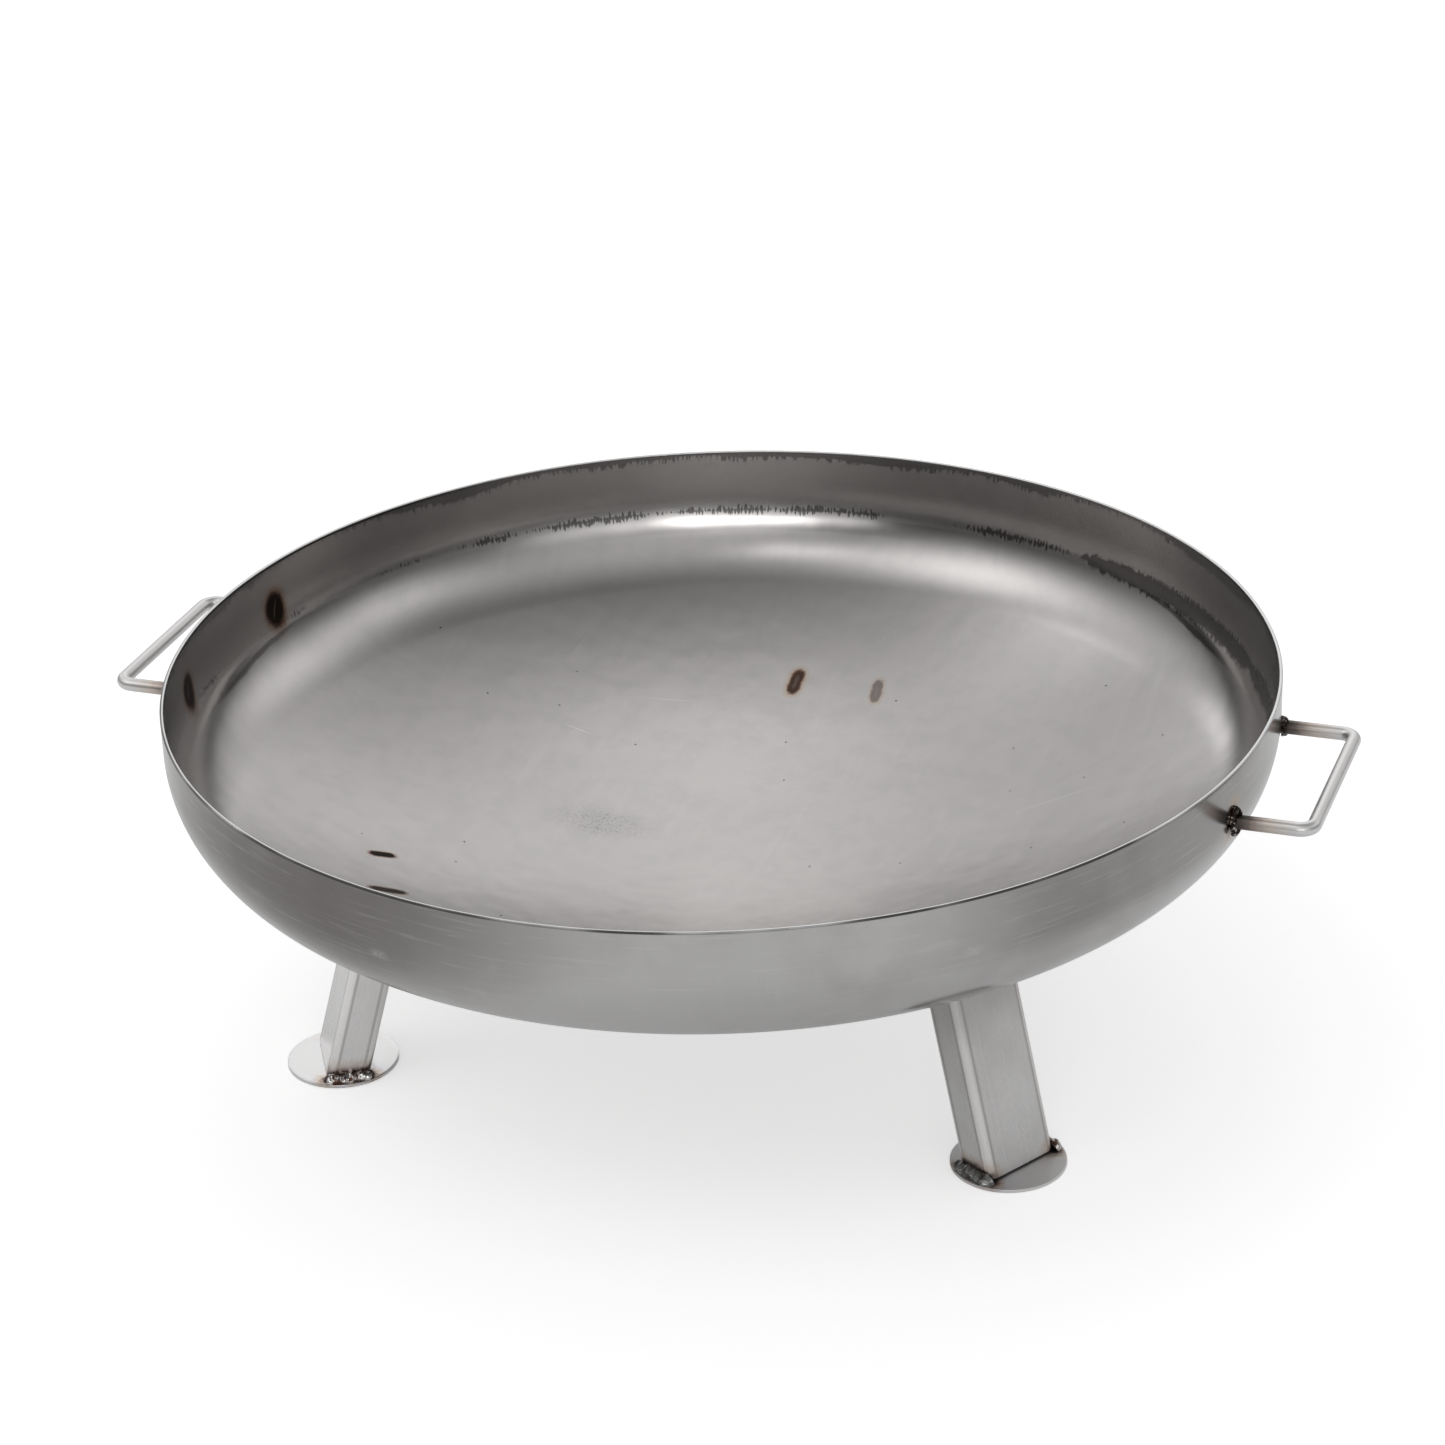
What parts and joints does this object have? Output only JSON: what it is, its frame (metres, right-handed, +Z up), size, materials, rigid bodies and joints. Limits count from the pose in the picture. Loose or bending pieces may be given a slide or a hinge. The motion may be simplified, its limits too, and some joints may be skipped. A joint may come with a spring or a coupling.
{
  "type": "fire bowl",
  "caption": "Shallow dished steel fire bowl on splayed rectangular tube legs with round foot plates and a bar handle on each side.",
  "frame": {"origin": "on the ground, on the bowl's vertical axis, midway between the handles", "axes": "+X through the right handle, +Y towards the rear leg, +Z up"},
  "size_m": [0.902, 0.8, 0.288],
  "materials": {
    "bowl_steel": "bare cold-rolled sheet, satin, with forming marks and dark scale at the rim",
    "tube_steel": "bare drawn tube, satin, lengthways grain",
    "plate_steel": "bare cut plate, satin, heat tinted by the welds",
    "bar_steel": "bare drawn round bar, satin",
    "weld_metal": "as welded, rippled, dark with heat tint"
  },
  "bodies": {
    "root": {"bowl": "bowl_steel", "leg_rear": "tube_steel", "foot_plate_rear": "plate_steel", "leg_rear_bowl_weld_a": "weld_metal", "leg_rear_foot_weld_a": "weld_metal", "leg_rear_bowl_weld_b": "weld_metal", "leg_rear_foot_weld_b": "weld_metal", "leg_left": "tube_steel", "foot_plate_left": "plate_steel", "leg_left_bowl_weld_a": "weld_metal", "leg_left_foot_weld_a": "weld_metal", "leg_left_bowl_weld_b": "weld_metal", "leg_left_foot_weld_b": "weld_metal", "leg_right": "tube_steel", "foot_plate_right": "plate_steel", "leg_right_bowl_weld_a": "weld_metal", "leg_right_foot_weld_a": "weld_metal", "leg_right_bowl_weld_b": "weld_metal", "leg_right_foot_weld_b": "weld_metal", "handle_left": "bar_steel", "handle_left_weld_a": "weld_metal", "handle_left_weld_b": "weld_metal", "handle_right": "bar_steel", "handle_right_weld_a": "weld_metal", "handle_right_weld_b": "weld_metal"}
  },
  "joints": []
}
